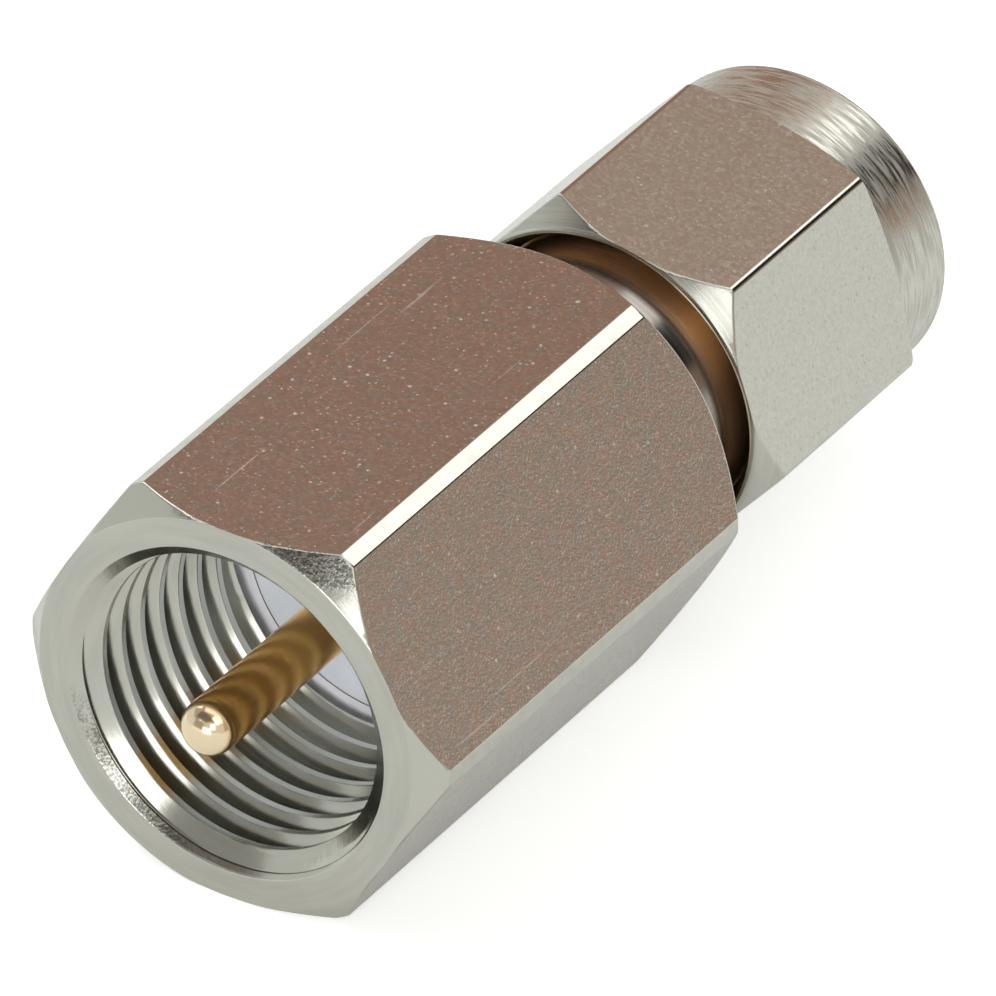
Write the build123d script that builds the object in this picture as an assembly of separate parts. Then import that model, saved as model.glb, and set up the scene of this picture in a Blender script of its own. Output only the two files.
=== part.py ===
from build123d import *
import math
import os

# Straight coaxial adapter: a fixed hexagon body with a threaded FME plug socket at one end, and an SMA plug
# with a free-turning coupling nut at the other. The axis runs along +Y, Y = 0 is the face of the FME mouth,
# and +Z is up. The part lies on the lowest flat of its hexagon body. All sizes are millimetres.

# Hexagon body
BODY_AF = 9.5
BODY_CORNER_TURN = 0.11
BODY_LENGTH = 13.0
BODY_FRONT_CHAMFER = 0.6
BODY_REAR_CHAMFER = 0.7
NECK_FILLET = 0.3

# FME socket
FME_THREAD_D = 8.0
FME_PITCH = 0.75
FME_MOUTH_STEP = 0.08
FME_DEPTH = 6.2
FME_RELIEF_LENGTH = 0.35
FME_RELIEF_STEP = 0.02
FME_SHOULDER = 0.55

# Coupling nut
NUT_AF = 8.0
NUT_CORNER_TURN = 0.053
NUT_LENGTH = 8.45
NUT_CHAMFER = 0.53
NUT_HOLE_FLARE = 0.34
NUT_FLARE_LENGTH = 0.8
NUT_WALL = 0.44
NUT_COLLAR_STEP = 0.12
NUT_COLLAR_LENGTH = 2.17
NUT_SHOULDER_ANGLE = 24.0
NUT_RIM_CHAMFER = 0.15
NUT_REST_TURN = 11.2

# SMA plug
SMA_THREAD_D = 6.35
SMA_PITCH = 25.4 / 36
SMA_MOUTH_STEP = 0.1
SMA_RELIEF_LENGTH = 0.7
SMA_RELIEF_STEP = 0.075
SMA_DIELECTRIC_D = 4.1
SLEEVE_WALL = 0.235
SLEEVE_LENGTH = 2.0
SLEEVE_CHAMFER = 0.08
NECK_GAP = 2.1
JOURNAL_LENGTH = 2.8
NECK_CHAMFER = 0.15

# Retaining ring
RING_WIDTH = 0.5
RING_THICKNESS = 0.45
RING_BITE = 0.1
RING_SETBACK = 1.4
RING_GAP = 0.9

# Sealing gasket
GASKET_THICKNESS = 0.6

# Insulators and centre contact
FME_INSULATOR_LENGTH = 4.0
SMA_FLANGE_STEP = 0.55
SMA_FLANGE_LENGTH = 1.0
FME_PIN_D = 1.3
FME_PIN_PROTRUSION = 1.15
FME_PIN_TIP_RADIUS = 0.6
CONTACT_SHANK_D = 1.8
CONTACT_COLLAR_D = 2.6
CONTACT_COLLAR_LENGTH = 0.8
CONTACT_CORE_D = 1.27
SMA_PIN_D = 0.92
SMA_PIN_LENGTH = 2.3
SMA_PIN_TIP_FLAT_D = 0.3
SMA_PIN_TIP_LENGTH = 0.45

# Clearances, each on the radius or on one side
NUT_RUNNING_CLEARANCE = 0.06
NUT_END_CLEARANCE = 0.1
RING_CLEARANCE = 0.05
GASKET_CLEARANCE = 0.15
GASKET_SLIP = 0.02
INSULATOR_SLIP = 0.01

# Depth of an internal thread over its pitch, from the crest to the nominal diameter
THREAD_DEPTH_RATIO = 5 * math.sqrt(3) / 16

# Most of the rear face's ledge beside the neck that the fillet there may take up
NECK_LEDGE_SHARE = 0.8

# Radii of the hexagon body and its socket
body_corner_r = BODY_AF / math.sqrt(3) - BODY_CORNER_TURN
fme_thread_r = FME_THREAD_D / 2
fme_crest_r = fme_thread_r - THREAD_DEPTH_RATIO * FME_PITCH
fme_mouth_r = fme_thread_r + FME_MOUTH_STEP
fme_relief_r = fme_thread_r + FME_RELIEF_STEP
fme_insulator_r = fme_thread_r - FME_SHOULDER

# Radii of the nut and of the neck that it turns on
nut_corner_r = NUT_AF / math.sqrt(3) - NUT_CORNER_TURN
nut_collar_r = NUT_AF / 2 - NUT_COLLAR_STEP
nut_hole_r = NUT_AF / 2 - NUT_WALL
neck_r = nut_hole_r - NUT_RUNNING_CLEARANCE
neck_ledge = min(BODY_AF / 2, body_corner_r - BODY_REAR_CHAMFER) - neck_r
neck_fillet_r = min(NECK_FILLET, NECK_LEDGE_SHARE * neck_ledge)
ring_outer_r = nut_hole_r + RING_BITE
ring_inner_r = ring_outer_r - RING_THICKNESS
nut_groove_r = ring_outer_r + RING_CLEARANCE
neck_groove_r = ring_inner_r - RING_CLEARANCE

# Radii of the SMA plug
sma_thread_r = SMA_THREAD_D / 2
sma_crest_r = sma_thread_r - THREAD_DEPTH_RATIO * SMA_PITCH
sma_mouth_r = sma_thread_r + SMA_MOUTH_STEP
sma_relief_r = sma_thread_r + SMA_RELIEF_STEP
dielectric_r = SMA_DIELECTRIC_D / 2
dielectric_bore_r = dielectric_r + INSULATOR_SLIP
flange_r = dielectric_r + SMA_FLANGE_STEP
sleeve_r = dielectric_bore_r + SLEEVE_WALL

# Stations along the axis
fme_relief_y = FME_DEPTH - FME_RELIEF_LENGTH
flange_y = FME_DEPTH + FME_INSULATOR_LENGTH
flange_end_y = flange_y + SMA_FLANGE_LENGTH
contact_collar_y = flange_y - CONTACT_COLLAR_LENGTH
nut_y = BODY_LENGTH + NECK_GAP
nut_end_y = nut_y + NUT_LENGTH
nut_collar_y = nut_end_y - NUT_COLLAR_LENGTH
neck_end_y = nut_y + JOURNAL_LENGTH
nut_step_y = neck_end_y + NUT_END_CLEARANCE
sma_relief_end_y = nut_step_y + SMA_RELIEF_LENGTH
sleeve_end_y = neck_end_y + SLEEVE_LENGTH
sma_pin_end_y = sleeve_end_y + SMA_PIN_LENGTH
ring_y = nut_y + RING_SETBACK - RING_WIDTH / 2
ring_end_y = ring_y + RING_WIDTH
groove_y = ring_y - RING_CLEARANCE
groove_end_y = ring_end_y + RING_CLEARANCE


def turned(outline):
    """Turn a closed half-section, given as (radius, y) points, about the axis."""
    return revolve(make_face(Polyline(*outline, close=True)), axis=Axis.Y)


def hexagon_bar(across_flats, start_y, end_y):
    """Return a hexagon bar along the axis, with two of its flats facing up and down."""
    section = Plane(origin=(0, start_y, 0), x_dir=(1, 0, 0), z_dir=(0, 1, 0))
    hexagon = RegularPolygon(radius=across_flats / 2, side_count=6, major_radius=False)
    return extrude(section * hexagon, amount=end_y - start_y)


def edges_at(solid, y, radius):
    """Pick the round edges of a turned solid that lie at one station and one radius."""
    circles = solid.edges().filter_by(GeomType.CIRCLE)
    return circles.filter_by(
        lambda edge: abs(edge.arc_center.Y - y) < 1e-4 and abs(edge.radius - radius) < 1e-4
    )


def make_adapter_body():
    """Hexagon shell with the FME socket, the neck that carries the nut, and the SMA outer sleeve."""
    bar = turned([
        (0, 0),
        (body_corner_r - BODY_FRONT_CHAMFER, 0),
        (body_corner_r, BODY_FRONT_CHAMFER),
        (body_corner_r, BODY_LENGTH - BODY_REAR_CHAMFER),
        (body_corner_r - BODY_REAR_CHAMFER, BODY_LENGTH),
        (0, BODY_LENGTH),
    ]) & hexagon_bar(BODY_AF, 0, BODY_LENGTH)
    neck = turned([
        (0, contact_collar_y),
        (neck_r, contact_collar_y),
        (neck_r, groove_y),
        (neck_groove_r, groove_y),
        (neck_groove_r, groove_end_y),
        (neck_r, groove_end_y),
        (neck_r, neck_end_y - NECK_CHAMFER),
        (neck_r - NECK_CHAMFER, neck_end_y),
        (sleeve_r, neck_end_y),
        (sleeve_r, sleeve_end_y - SLEEVE_CHAMFER),
        (sleeve_r - SLEEVE_CHAMFER, sleeve_end_y),
        (0, sleeve_end_y),
    ])
    outside = bar + neck
    outside = fillet(edges_at(outside, BODY_LENGTH, neck_r), neck_fillet_r)
    bore = turned([
        (0, 0),
        (fme_mouth_r, 0),
        (fme_crest_r, fme_mouth_r - fme_crest_r),
        (fme_crest_r, fme_relief_y),
        (fme_relief_r, fme_relief_y),
        (fme_relief_r, FME_DEPTH),
        (fme_insulator_r + INSULATOR_SLIP, FME_DEPTH),
        (fme_insulator_r + INSULATOR_SLIP, flange_y),
        (flange_r + INSULATOR_SLIP, flange_y),
        (flange_r + INSULATOR_SLIP, flange_end_y),
        (dielectric_bore_r, flange_end_y),
        (dielectric_bore_r, sleeve_end_y),
        (0, sleeve_end_y),
    ])
    return outside - bore


def make_coupling_nut():
    """Hexagon nut with a round collar at its mouth, a hole for the neck and a seat for the ring."""
    shoulder_run = (nut_corner_r - nut_collar_r) * math.tan(math.radians(NUT_SHOULDER_ANGLE))
    bar = turned([
        (0, nut_y),
        (nut_corner_r - NUT_CHAMFER, nut_y),
        (nut_corner_r, nut_y + NUT_CHAMFER),
        (nut_corner_r, nut_collar_y - shoulder_run),
        (nut_collar_r, nut_collar_y),
        (nut_collar_r, nut_end_y - NUT_RIM_CHAMFER),
        (nut_collar_r - NUT_RIM_CHAMFER, nut_end_y),
        (0, nut_end_y),
    ]) & hexagon_bar(NUT_AF, nut_y, nut_end_y)
    bore = turned([
        (0, nut_y),
        (nut_hole_r + NUT_HOLE_FLARE, nut_y),
        (nut_hole_r, nut_y + NUT_FLARE_LENGTH),
        (nut_hole_r, groove_y),
        (nut_groove_r, groove_y),
        (nut_groove_r, groove_end_y),
        (nut_hole_r, groove_end_y),
        (nut_hole_r, nut_step_y),
        (sma_relief_r, nut_step_y),
        (sma_relief_r, sma_relief_end_y),
        (sma_crest_r, sma_relief_end_y),
        (sma_crest_r, nut_end_y - (sma_mouth_r - sma_crest_r)),
        (sma_mouth_r, nut_end_y),
        (0, nut_end_y),
    ])
    return Rot(0, NUT_REST_TURN, 0) * (bar - bore)


def make_retaining_ring():
    """Split spring ring that sits in the neck's groove and reaches into the nut's groove."""
    ring = turned([
        (ring_inner_r, ring_y),
        (ring_outer_r, ring_y),
        (ring_outer_r, ring_end_y),
        (ring_inner_r, ring_end_y),
    ])
    split = Box(RING_GAP, 2 * RING_WIDTH, 2 * RING_THICKNESS)
    split_place = Pos(0, ring_y + RING_WIDTH / 2, (ring_inner_r + ring_outer_r) / 2)
    return ring - split_place * split


def make_sealing_gasket():
    """Flat soft washer round the sleeve, against the end of the neck."""
    inner_r = sleeve_r + GASKET_SLIP
    outer_r = sma_relief_r - GASKET_CLEARANCE
    end_y = neck_end_y + GASKET_THICKNESS
    return turned([(inner_r, neck_end_y), (outer_r, neck_end_y), (outer_r, end_y), (inner_r, end_y)])


def make_fme_insulator():
    """Plain bush that fills the bore behind the FME socket and traps the contact's collar."""
    shank_hole_r = CONTACT_SHANK_D / 2 + INSULATOR_SLIP
    collar_hole_r = CONTACT_COLLAR_D / 2 + INSULATOR_SLIP
    return turned([
        (shank_hole_r, FME_DEPTH),
        (fme_insulator_r, FME_DEPTH),
        (fme_insulator_r, flange_y),
        (collar_hole_r, flange_y),
        (collar_hole_r, contact_collar_y),
        (shank_hole_r, contact_collar_y),
    ])


def make_sma_insulator():
    """Long flanged bush through the neck, flush with the end of the sleeve."""
    core_hole_r = CONTACT_CORE_D / 2 + INSULATOR_SLIP
    return turned([
        (core_hole_r, flange_y),
        (flange_r, flange_y),
        (flange_r, flange_end_y),
        (dielectric_r, flange_end_y),
        (dielectric_r, sleeve_end_y),
        (core_hole_r, sleeve_end_y),
    ])


def make_centre_contact():
    """Turned pin with a domed FME end, a thick shank, a collar between the bushes and a pointed SMA end."""
    pin = turned([
        (0, -FME_PIN_PROTRUSION),
        (FME_PIN_D / 2, -FME_PIN_PROTRUSION),
        (FME_PIN_D / 2, FME_DEPTH),
        (CONTACT_SHANK_D / 2, FME_DEPTH),
        (CONTACT_SHANK_D / 2, contact_collar_y),
        (CONTACT_COLLAR_D / 2, contact_collar_y),
        (CONTACT_COLLAR_D / 2, flange_y),
        (CONTACT_CORE_D / 2, flange_y),
        (CONTACT_CORE_D / 2, sleeve_end_y),
        (SMA_PIN_D / 2, sleeve_end_y),
        (SMA_PIN_D / 2, sma_pin_end_y - SMA_PIN_TIP_LENGTH),
        (SMA_PIN_TIP_FLAT_D / 2, sma_pin_end_y),
        (0, sma_pin_end_y),
    ])
    return fillet(edges_at(pin, -FME_PIN_PROTRUSION, FME_PIN_D / 2), FME_PIN_TIP_RADIUS)


nodes = {
    "adapter_body": make_adapter_body(),
    "coupling_nut": make_coupling_nut(),
    "retaining_ring": make_retaining_ring(),
    "sealing_gasket": make_sealing_gasket(),
    "centre_contact": make_centre_contact(),
    "fme_insulator": make_fme_insulator(),
    "sma_insulator": make_sma_insulator(),
}

os.makedirs("parts", exist_ok=True)
for name, solid in nodes.items():
    export_step(solid, f"parts/{name}.step")
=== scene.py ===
"""Straight coaxial adapter, dressed for its photograph.

A nickel-plated hexagon body with a threaded socket and a gold pin, a free hexagon coupling nut with a round
collar, white bushes, a spring ring and a soft gasket. The axis of the adapter runs along +Y and +Z is up.
Sizes are written in millimetres, and each finished mesh is brought to metres when it is placed.
"""
from __future__ import annotations

import logging
import math
from dataclasses import dataclass
from enum import Enum

import bmesh
import bpy
from mathutils import Matrix, Vector

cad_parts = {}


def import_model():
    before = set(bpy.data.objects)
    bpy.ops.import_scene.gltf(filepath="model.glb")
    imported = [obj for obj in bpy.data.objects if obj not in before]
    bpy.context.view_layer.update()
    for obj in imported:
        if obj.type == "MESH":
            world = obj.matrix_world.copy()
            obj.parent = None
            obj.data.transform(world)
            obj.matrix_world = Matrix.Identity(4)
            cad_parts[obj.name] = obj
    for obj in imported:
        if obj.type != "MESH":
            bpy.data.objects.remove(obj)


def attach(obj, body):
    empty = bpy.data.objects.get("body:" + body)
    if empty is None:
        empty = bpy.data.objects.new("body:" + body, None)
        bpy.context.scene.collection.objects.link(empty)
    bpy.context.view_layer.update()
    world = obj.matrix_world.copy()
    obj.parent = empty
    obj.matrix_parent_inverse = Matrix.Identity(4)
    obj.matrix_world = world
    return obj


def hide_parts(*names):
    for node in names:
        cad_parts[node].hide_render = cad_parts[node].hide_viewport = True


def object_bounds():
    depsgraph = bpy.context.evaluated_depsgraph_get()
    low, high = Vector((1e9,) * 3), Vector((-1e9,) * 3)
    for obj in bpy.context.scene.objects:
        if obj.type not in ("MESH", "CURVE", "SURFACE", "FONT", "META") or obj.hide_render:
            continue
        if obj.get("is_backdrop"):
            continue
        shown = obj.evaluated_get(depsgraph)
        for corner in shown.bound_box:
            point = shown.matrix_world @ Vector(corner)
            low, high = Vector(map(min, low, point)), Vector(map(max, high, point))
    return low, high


log = logging.getLogger("adapter")

MM = 0.001

# Working limits of the mesh code, in millimetres and degrees
MERGE_DISTANCE = 1e-5
THREAD_MERGE = 1e-3
SHARP_ANGLE = 27.0
TURNING_STEPS = 144
THREAD_STEPS = 120

# One turn of a thread, as share of the pitch and share of the depth, with its edges slightly broken
THREAD_PROFILE = (
    (0.0, 0.0),
    (0.08, 0.0),
    (0.15, 0.09),
    (0.42, 0.95),
    (0.455, 1.0),
    (0.545, 1.0),
    (0.58, 0.95),
    (0.85, 0.09),
    (0.92, 0.0),
)

# Corners of a turned outline flatter than this stay sharp, in degrees, and so do those with a side
# shorter than this many widths
EASED_ANGLE = 20.0
EASED_SIDES = 2.05

# Edges of a solid flatter than this stay sharp, in degrees
ROUNDED_ANGLE = 12.0

# Angles of a hexagon's flats and corners round the axis, and from a corner to the next flat, in degrees
FLAT_TURNS = range(30, 360, 60)
CORNER_TURNS = range(0, 360, 60)
HALF_FLAT = 30.0

# Angles of the cuts that round a corner, break a strip's edge and break an arc, in degrees
CORNER_LEANS = range(-24, 25, 8)
STRIP_LEANS = (-7.0, 0.0, 7.0)
ARC_LEANS = range(-26, 27, 2)

# How deep an arc's edge is broken, and how far inside the flats its faces may reach
ARC_DEPTH = 0.018
ARC_REACH = 0.3

# How far inside the bore the tap's cores run, and how far its ends stand out
TAP_CLEARANCE = 0.015
TAP_OVERRUN = 0.2

# How much a large face outweighs a small one in the shading, from 1 to 100
NORMAL_WEIGHT = 80

# A face of a flat or corner leans along the axis by less than the first and lies inside the flats by less
# than the second, and a flat's face has its middle within the third, as a share of the flats' distance
FLAT_TILT = 0.05
FLAT_MARGIN = 0.01
FLAT_REACH = 1.06

# How much a step along the axis counts beside a step outwards in the pattern of lathe marks
RING_LEAN = 0.77

# A Mix node's sockets for its two colours and its resulting colour
MIX_INPUTS = (6, 7)
MIX_RESULT = 2

Outline = list[tuple[float, float]]
Colour = tuple[float, float, float]
Socket = bpy.types.NodeSocket


# Mesh building


def spun(outline: Outline, steps: int = TURNING_STEPS) -> bmesh.types.BMesh:
    """Turn a closed half-section about the axis.

    Args:
        outline: (radius, y) points of the section, in order.
        steps: Number of faces round the axis.

    Returns:
        The closed turned solid.
    """
    bm = bmesh.new()
    verts = [bm.verts.new((radius, y, 0.0)) for radius, y in outline]
    sides = [(verts[i - 1], verts[i]) for i in range(len(verts))]
    edges = [bm.edges.new(side) for side in sides if side[0].co.x > 0 or side[1].co.x > 0]
    bmesh.ops.spin(
        bm, geom=verts + edges, cent=(0, 0, 0), axis=(0, 1, 0), angle=math.tau, steps=steps, use_merge=True
    )
    bmesh.ops.remove_doubles(bm, verts=bm.verts[:], dist=MERGE_DISTANCE)
    bmesh.ops.dissolve_degenerate(bm, edges=bm.edges[:], dist=MERGE_DISTANCE)
    bmesh.ops.recalc_face_normals(bm, faces=bm.faces[:])
    return bm


def spoke(turn: float) -> Vector:
    """Return the unit vector square to the axis at an angle in radians."""
    return Vector((math.cos(turn), 0.0, math.sin(turn)))


def quarter_turn(radius: float, y: float, reach_r: float, reach_y: float, steps: int) -> Outline:
    """Return a quarter of a round in a half-section.

    Args:
        radius: Radius at its end.
        y: Where it starts along the axis.
        reach_r: How far its start is from that radius.
        reach_y: How far its end is from that start.
        steps: Number of straight pieces.

    Returns:
        The points, from its start to its end.
    """
    turns = [math.pi / 2 * step / steps for step in range(steps + 1)]
    return [(radius + reach_r * (1 - math.sin(turn)), y + reach_y * (1 - math.cos(turn))) for turn in turns]


def ring_outline(inner_r: float, outer_r: float, start: float, end: float) -> Outline:
    """Return the half-section of a plain ring."""
    return [(inner_r, start), (outer_r, start), (outer_r, end), (inner_r, end)]


def eased(outline: Outline, width: float, least_r: float) -> Outline:
    """Round the corners of a turned outline.

    Args:
        outline: (radius, y) points of the section, in order.
        width: Length that is taken off each side of a corner.
        least_r: Corners nearer to the axis than this are left sharp.

    Returns:
        The outline, with three points at each rounded corner.
    """
    points = [Vector(point) for point in outline]
    rounded = []
    for index, corner in enumerate(points):
        back = points[index - 1] - corner
        onward = points[(index + 1) % len(points)] - corner
        short = min(back.length, onward.length) < EASED_SIDES * width
        if short or corner.x < least_r or back.angle(-onward) < math.radians(EASED_ANGLE):
            rounded.append(tuple(corner))
            continue
        first = corner + back.normalized() * width
        last = corner + onward.normalized() * width
        rounded += [tuple(first), tuple((first + 2 * corner + last) / 4), tuple(last)]
    return rounded


def trim(bm: bmesh.types.BMesh, point: Vector, outward: Vector, least_r: float = 0.0) -> None:
    """Cut away what lies outside a plane, and close the cut with one flat face.

    Args:
        bm: The closed solid to trim.
        point: A point of the plane.
        outward: The plane's normal, towards what is cut away.
        least_r: Faces that come nearer to the axis than this are left alone.
    """
    faces = [face for face in bm.faces if all(math.hypot(v.co.x, v.co.z) >= least_r for v in face.verts)]
    edges = {edge for face in faces for edge in face.edges}
    verts = {vert for face in faces for vert in face.verts}
    cut = bmesh.ops.bisect_plane(
        bm,
        geom=[*verts, *edges, *faces],
        dist=MERGE_DISTANCE,
        plane_co=point,
        plane_no=outward,
        clear_outer=True,
    )
    rim = [item for item in cut["geom_cut"] if isinstance(item, bmesh.types.BMEdge)]
    bmesh.ops.holes_fill(bm, edges=rim, sides=0)


def cut_hexagon(bm: bmesh.types.BMesh, across_flats: float) -> None:
    """Cut the six flats of a hexagon, two of them level, on a turned solid.

    Args:
        bm: The turned solid.
        across_flats: Distance between two opposite flats.
    """
    for flat in FLAT_TURNS:
        outward = spoke(math.radians(flat))
        trim(bm, outward * across_flats / 2, outward)
    bmesh.ops.recalc_face_normals(bm, faces=bm.faces[:])


def round_corners(bm: bmesh.types.BMesh, across_flats: float, radius: float) -> None:
    """Round the six long corners of a hexagon with a fan of narrow cuts.

    Args:
        bm: The hexagon solid.
        across_flats: Distance between two opposite flats.
        radius: Radius of the rounding.
    """
    middle = (across_flats / 2 - radius) / math.cos(math.radians(HALF_FLAT))
    for corner in CORNER_TURNS:
        for lean in CORNER_LEANS:
            outward = spoke(math.radians(corner + lean))
            trim(bm, outward * (middle * math.cos(math.radians(lean)) + radius), outward)
    bmesh.ops.recalc_face_normals(bm, faces=bm.faces[:])


def ease_strips(bm: bmesh.types.BMesh, across_flats: float, corner_r: float, radius: float) -> None:
    """Break both long edges of the narrow turned strips on a hexagon's corners.

    Args:
        bm: The hexagon solid.
        across_flats: Distance between two opposite flats.
        corner_r: Radius that the corners were turned to.
        radius: Radius of the broken edges.
    """
    edge_lean = HALF_FLAT - math.degrees(math.acos(across_flats / 2 / corner_r))
    middle_lean = (HALF_FLAT + edge_lean) / 2
    half_bend = math.cos(math.radians(middle_lean - edge_lean))
    for corner in CORNER_TURNS:
        for side in (-1, 1):
            edge = spoke(math.radians(corner + side * edge_lean)) * corner_r
            for off_middle in STRIP_LEANS:
                outward = spoke(math.radians(corner + side * (middle_lean + off_middle)))
                depth = radius * (math.cos(math.radians(off_middle)) / half_bend - 1)
                trim(bm, edge - outward * depth, outward)
    bmesh.ops.recalc_face_normals(bm, faces=bm.faces[:])


def ease_arcs(
    bm: bmesh.types.BMesh, across_flats: float, face_r: float, face_y: float, inward: float
) -> None:
    """Break the arcs where an end chamfer of 45 degrees meets the six flats.

    Args:
        bm: The hexagon solid.
        across_flats: Distance between two opposite flats.
        face_r: Radius at which the chamfer leaves the end face.
        face_y: Where the end face is along the axis.
        inward: 1 for a face at the front end, -1 for one at the rear.
    """
    for flat in FLAT_TURNS:
        turn = math.radians(flat)
        flat_out = spoke(turn)
        for lean in ARC_LEANS:
            aim = turn + math.radians(lean)
            radius = across_flats / 2 / math.cos(math.radians(lean))
            y = face_y + inward * (radius - face_r)
            point = Vector((math.cos(aim) * radius, y, math.sin(aim) * radius))
            cone_out = Vector((math.cos(aim), -inward, math.sin(aim))).normalized()
            outward = (flat_out + cone_out).normalized()
            if radius > face_r:
                trim(bm, point - outward * ARC_DEPTH, outward, across_flats / 2 - ARC_REACH)
    bmesh.ops.recalc_face_normals(bm, faces=bm.faces[:])


def round_edges(bm: bmesh.types.BMesh, width: float, segments: int) -> None:
    """Round the edges of a solid where two faces meet at an angle.

    Args:
        bm: The solid.
        width: Width of the rounding on each face.
        segments: Faces across the rounding.
    """
    edges = [
        edge
        for edge in bm.edges
        if len(edge.link_faces) == 2 and edge.calc_face_angle() > math.radians(ROUNDED_ANGLE)
    ]
    bmesh.ops.bevel(
        bm,
        geom=edges,
        offset=width,
        offset_type="OFFSET",
        segments=segments,
        profile=0.5,
        affect="EDGES",
        clamp_overlap=True,
        material=-1,
    )


def thread_rod(
    crest_r: float, root_r: float, pitch: float, start_y: float, end_y: float, turn: float
) -> bmesh.types.BMesh:
    """Make the right-handed tap that cuts an internal thread into a bore.

    Args:
        crest_r: Radius of the bore, at the crest of the internal thread.
        root_r: Radius at the bottom of its groove.
        pitch: Distance from one turn to the next.
        start_y: Where the tap starts along the axis.
        end_y: Where it ends.
        turn: Angle that the thread is turned by, in degrees.

    Returns:
        The closed tap.
    """
    bm = bmesh.new()
    core_r = crest_r - TAP_CLEARANCE
    first_y = start_y - 2 * pitch
    grooves = math.ceil((end_y - first_y) / pitch) + 1
    verts = []
    for groove in range(grooves):
        for share, depth in THREAD_PROFILE:
            radius = core_r + (root_r - core_r) * depth
            verts.append(bm.verts.new((radius, first_y + pitch * (groove + share), 0.0)))
    verts.append(bm.verts.new((core_r, first_y + pitch * grooves, 0.0)))
    edges = [bm.edges.new(pair) for pair in zip(verts, verts[1:])]
    bmesh.ops.spin(
        bm,
        geom=verts + edges,
        cent=(0, 0, 0),
        axis=(0, 1, 0),
        dvec=(0, pitch / THREAD_STEPS, 0),
        angle=math.tau,
        steps=THREAD_STEPS,
    )
    bmesh.ops.remove_doubles(bm, verts=bm.verts[:], dist=THREAD_MERGE)
    trim(bm, Vector((0, start_y, 0)), Vector((0, -1, 0)))
    trim(bm, Vector((0, end_y, 0)), Vector((0, 1, 0)))
    turned = Matrix.Rotation(math.radians(turn), 3, "Y")
    bmesh.ops.rotate(bm, verts=bm.verts[:], cent=(0, 0, 0), matrix=turned)
    bmesh.ops.recalc_face_normals(bm, faces=bm.faces[:])
    return bm


def workbench_object(bm: bmesh.types.BMesh, name: str) -> bpy.types.Object:
    """Put a mesh in the scene as an object.

    Args:
        bm: The mesh, which is freed.
        name: Name of the object.

    Returns:
        The linked object.
    """
    mesh = bpy.data.meshes.new(name)
    bm.to_mesh(mesh)
    bm.free()
    obj = bpy.data.objects.new(name, mesh)
    bpy.context.scene.collection.objects.link(obj)
    return obj


def taken_off(obj: bpy.types.Object) -> bpy.types.Mesh:
    """Apply an object's modifiers and take it out of the scene.

    Args:
        obj: The object.

    Returns:
        Its finished mesh.
    """
    bpy.context.view_layer.update()
    shape = obj.evaluated_get(bpy.context.evaluated_depsgraph_get())
    mesh = bpy.data.meshes.new_from_object(shape)
    bpy.data.objects.remove(obj)
    return mesh


def carved(blank: bmesh.types.BMesh, cutters: list[bmesh.types.BMesh]) -> bpy.types.Mesh:
    """Cut solids out of a blank.

    Args:
        blank: The solid that is cut.
        cutters: The solids that are taken out of it.

    Returns:
        The mesh that is left.
    """
    work = workbench_object(blank, "blank")
    tools = [workbench_object(cutter, "cutter") for cutter in cutters]
    for tool in tools:
        cut = work.modifiers.new("cut", "BOOLEAN")
        cut.operation = "DIFFERENCE"
        cut.solver = "EXACT"
        cut.object = tool
    mesh = taken_off(work)
    for tool in tools:
        bpy.data.objects.remove(tool)
    return mesh


def shaded(mesh: bpy.types.Mesh, flats: bool = False) -> bpy.types.Mesh:
    """Smooth a mesh up to its sharp edges.

    Args:
        mesh: The mesh, in millimetres.
        flats: Whether it has large faces, which are kept flat.

    Returns:
        The mesh with its shading normals.
    """
    mesh.shade_smooth()
    mesh.set_sharp_from_angle(angle=math.radians(SHARP_ANGLE))
    if not flats:
        return mesh
    work = bpy.data.objects.new("shading", mesh)
    bpy.context.scene.collection.objects.link(work)
    weigh = work.modifiers.new("normals", "WEIGHTED_NORMAL")
    weigh.mode = "FACE_AREA"
    weigh.weight = NORMAL_WEIGHT
    weigh.keep_sharp = True
    return taken_off(work)


# Finishes


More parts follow.
